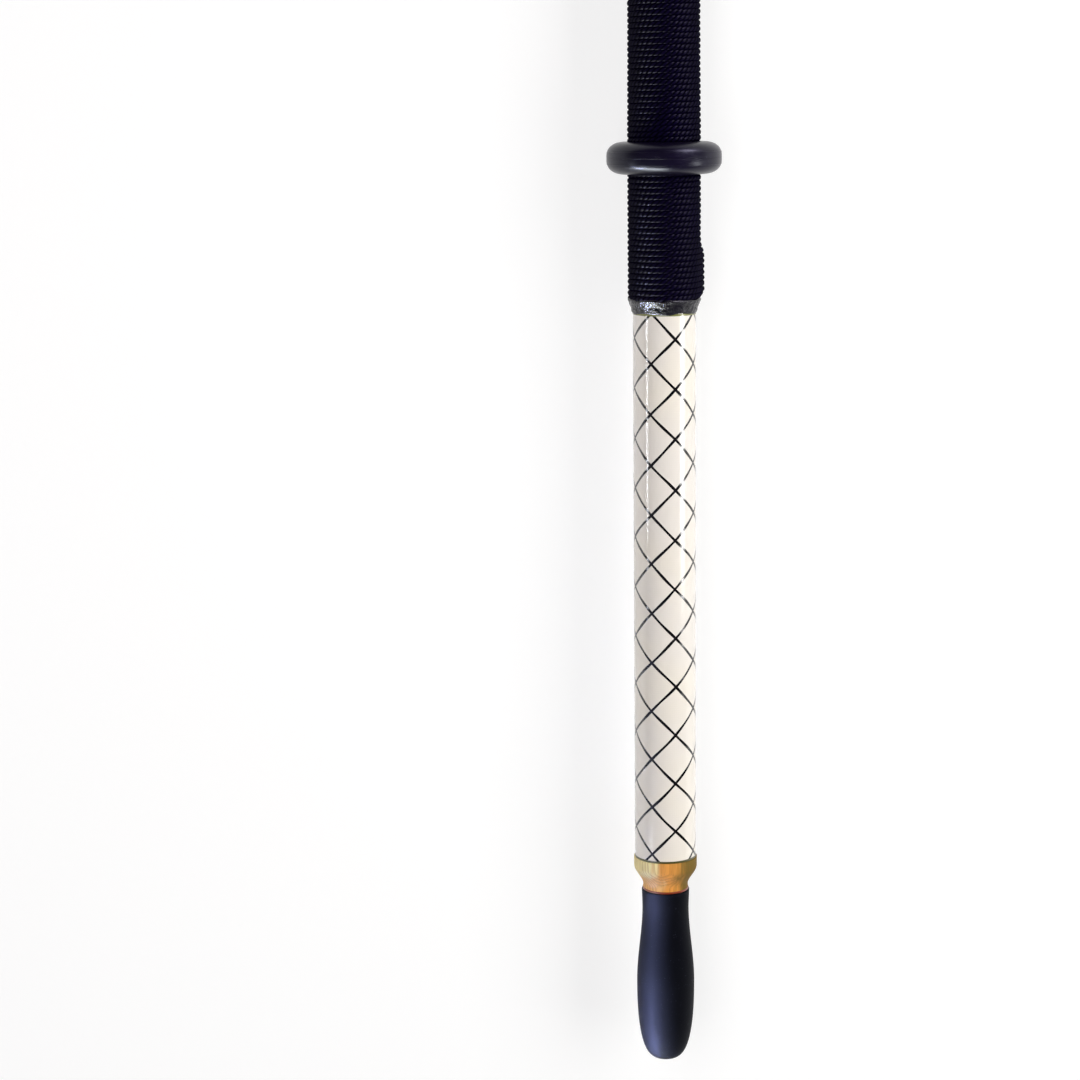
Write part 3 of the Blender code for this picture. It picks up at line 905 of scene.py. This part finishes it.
def make_world():
    """Soft light from below and along the horizon, faint above it, and plain white to the camera."""
    world = bpy.data.worlds.new("studio")
    bpy.context.scene.world = world
    nodes = Nodes(world)
    nodes.tree.nodes.clear()
    direction = nodes.node("ShaderNodeTexCoord", {}).outputs["Generated"]
    height = nodes.node("ShaderNodeSeparateXYZ", {0: direction}).outputs["Z"]
    glow = nodes.remap(height, *HORIZON, *HORIZON_GLOW)
    soft = nodes.node("ShaderNodeBackground", {"Color": (1, 1, 1, 1), "Strength": glow}).outputs[0]
    white = nodes.node("ShaderNodeBackground", {"Color": (1, 1, 1, 1)}).outputs[0]
    to_camera = nodes.node("ShaderNodeLightPath", {}).outputs["Is Camera Ray"]
    chosen = nodes.node("ShaderNodeMixShader", {0: to_camera, 1: soft, 2: white}).outputs[0]
    nodes.node("ShaderNodeOutputWorld", {0: chosen})


def make_softbox(name, middle, aim_x, size, radiance, colour=(1, 1, 1),
                 diffuse=True, glossy=True, grid=math.pi):
    """A rectangular lamp aimed at a point of the shaft's axis, level in its width.

    Radiance is the brightness of its face. A grid narrows its beam to an angle and leaves the
    brightness straight ahead as it is.
    """
    light = bpy.data.lights.new(name, "AREA")
    light.shape = "RECTANGLE"
    light.size, light.size_y = size
    light.energy = radiance * math.pi * size[0] * size[1]
    if grid < math.pi:
        light.spread = grid
        light.energy *= 1 - grid / 2 / math.tan(grid / 2)
    light.color = colour
    lamp = bpy.data.objects.new(name, light)
    bpy.context.scene.collection.objects.link(lamp)
    back = (Vector(middle) - Vector((aim_x, 0, 0))).normalized()
    across = Vector((0, 0, 1)).cross(back).normalized()
    turn = Matrix((across, back.cross(across), back)).transposed().to_4x4()
    lamp.matrix_world = Matrix.Translation(middle) @ turn
    lamp.visible_camera = False
    lamp.visible_diffuse = diffuse
    lamp.visible_glossy = glossy


def beside(side, rise, distance, x):
    """A point level with x on the shaft, at an angle from straight up: side -1 is the photograph's right."""
    return Vector((x, side * distance * math.sin(rise), distance * math.cos(rise)))


def make_lamps():
    """Broad fills that shade the tube from right to left, and lamps that show only as reflections."""
    make_softbox("fill_right", beside(-1, math.radians(50), 1.6, -0.35), -0.35, (2.2, 0.8), 4.65,
                 colour=(1.0, 0.99, 0.97), glossy=False)
    make_softbox("fill_left", beside(1, math.radians(24), 1.6, -0.32), -0.32, (2.2, 0.8), 2.8,
                 colour=(1.0, 0.97, 0.98), glossy=False)
    make_softbox("blade_side_key", (0.74, -1.11, 0.84), -0.25, (0.9, 1.0), 10.5,
                 colour=(0.89, 0.83, 1.0), diffuse=False)
    make_softbox("handle_side_key", (-2.45, 1.0, 0.68), -0.25, (2.3, 1.15), 19.5,
                 colour=(0.96, 1.0, 0.98), diffuse=False)
    make_softbox("grip_key", beside(1, math.radians(72), 1.5, -2.38), -0.92, (0.6, 0.6), 1550.0,
                 colour=(0.52, 0.59, 1.0), diffuse=False, grid=GRIP_GRID)
    make_softbox("right_strip_core", beside(-1, math.radians(66), 1.5, -0.68), -0.42, (0.40, 0.26), 14.0,
                 diffuse=False, grid=STRIP_GRID)
    make_softbox("right_strip", beside(-1, math.radians(67), 1.5, -0.70), -0.44, (0.60, 0.70), 4.5,
                 diffuse=False, grid=STRIP_GRID)
    make_softbox("left_strip", beside(1, math.radians(70), 1.5, -0.68), -0.44, (0.42, 0.045), 34.0,
                 colour=(0.90, 0.93, 1.0), diffuse=False, grid=STRIP_GRID)


def make_camera():
    """Looks down on the grip's half of the oar, with the shaft upright in the frame."""
    data = bpy.data.cameras.new("camera")
    camera = bpy.data.objects.new("camera", data)
    bpy.context.scene.collection.objects.link(camera)
    bpy.context.scene.camera = camera
    data.sensor_width = SENSOR_WIDTH_MM
    data.lens = FOCAL_PIXELS / FRAME_PIXELS * SENSOR_WIDTH_MM
    look = Vector((-math.sin(CAMERA_TILT), 0, -math.cos(CAMERA_TILT)))
    up = Vector((math.cos(CAMERA_TILT), 0, -math.sin(CAMERA_TILT)))
    right = look.cross(up)
    aimed_at = Vector((grip_end_x + CENTRE_FROM_GRIP_END, 0, 0))
    sideways = (OAR_COLUMN - FRAME_PIXELS / 2) * CAMERA_DISTANCE / FOCAL_PIXELS
    place = aimed_at - look * CAMERA_DISTANCE - right * sideways
    turn = Matrix((right, up, -look)).transposed().to_4x4()
    camera.matrix_world = Matrix.Translation(place) @ turn @ Matrix.Rotation(CAMERA_ROLL, 4, "Z")


yarn_material = yarn_paint()
resin_material = resin_paint()
make_tube()
make_yarns("yarns_handle_side", tube_start_x + HANDLE_SIDE_FILLET, handle_seal_x + YARN_UNDER_SEAL,
           HANDLE_SIDE_LEAD, HANDLE_SIDE_PHASES)
make_yarns("yarns_blade_side", blade_seal_end_x - YARN_UNDER_SEAL, blade_end_x - RIM_FILLET,
           BLADE_SIDE_LEAD, BLADE_SIDE_PHASES)
make_handle()
make_grip()
make_ring()
make_rope()
make_seal("handle_seal", handle_seal_x, rope_start_x, ROPE_OUTER_RADIUS, "handle_side_seal", 11)
make_seal("blade_seal", blade_seal_end_x, blade_seal_x, ROPE_OUTER_RADIUS - ROPE_THINS_BY,
          "blade_side_seal", 29)
olive = amber_paint("seal_foot_resin", srgb(128, 130, 62))
make_bead("handle_seal_foot", handle_seal_x - 0.1 * MM, tube_radius, *SEAL_BEAD, olive, "resin")
make_bead("blade_seal_foot", blade_seal_end_x + 0.1 * MM, tube_radius, *SEAL_BEAD, olive, "resin")
# Partly painted shade: a dark olive glue line in the gap at the tube's cut edge, coloured as the shadow
# there.
make_bead("collar_line_of_glue_and_shade", tube_start_x - GLUE_GAP / 2, COLLAR_LINE_RADIUS, COLLAR_LINE_WIDTH,
          tube_radius + 0.1 * MM - COLLAR_LINE_RADIUS, amber_paint("glue_and_shade_at_collar", srgb(86, 84, 40)), "resin")
# Partly painted shade: a red-brown glue line under the grip's lip, coloured as the shade there.
make_bead("grip_line_of_glue_and_shade", grip_edge_x + 0.9 * MM, GRIP_LINE_RADIUS, *GRIP_LINE_BEAD,
          amber_paint("glue_and_shade_at_grip", srgb(148, 58, 24)), "resin")
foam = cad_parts["socket_bulkhead"]
foam.data.materials.clear()
foam.data.materials.append(foam_paint())
make_floor()
make_world()
make_lamps()
make_camera()
bpy.context.scene.view_settings.view_transform = "Standard"
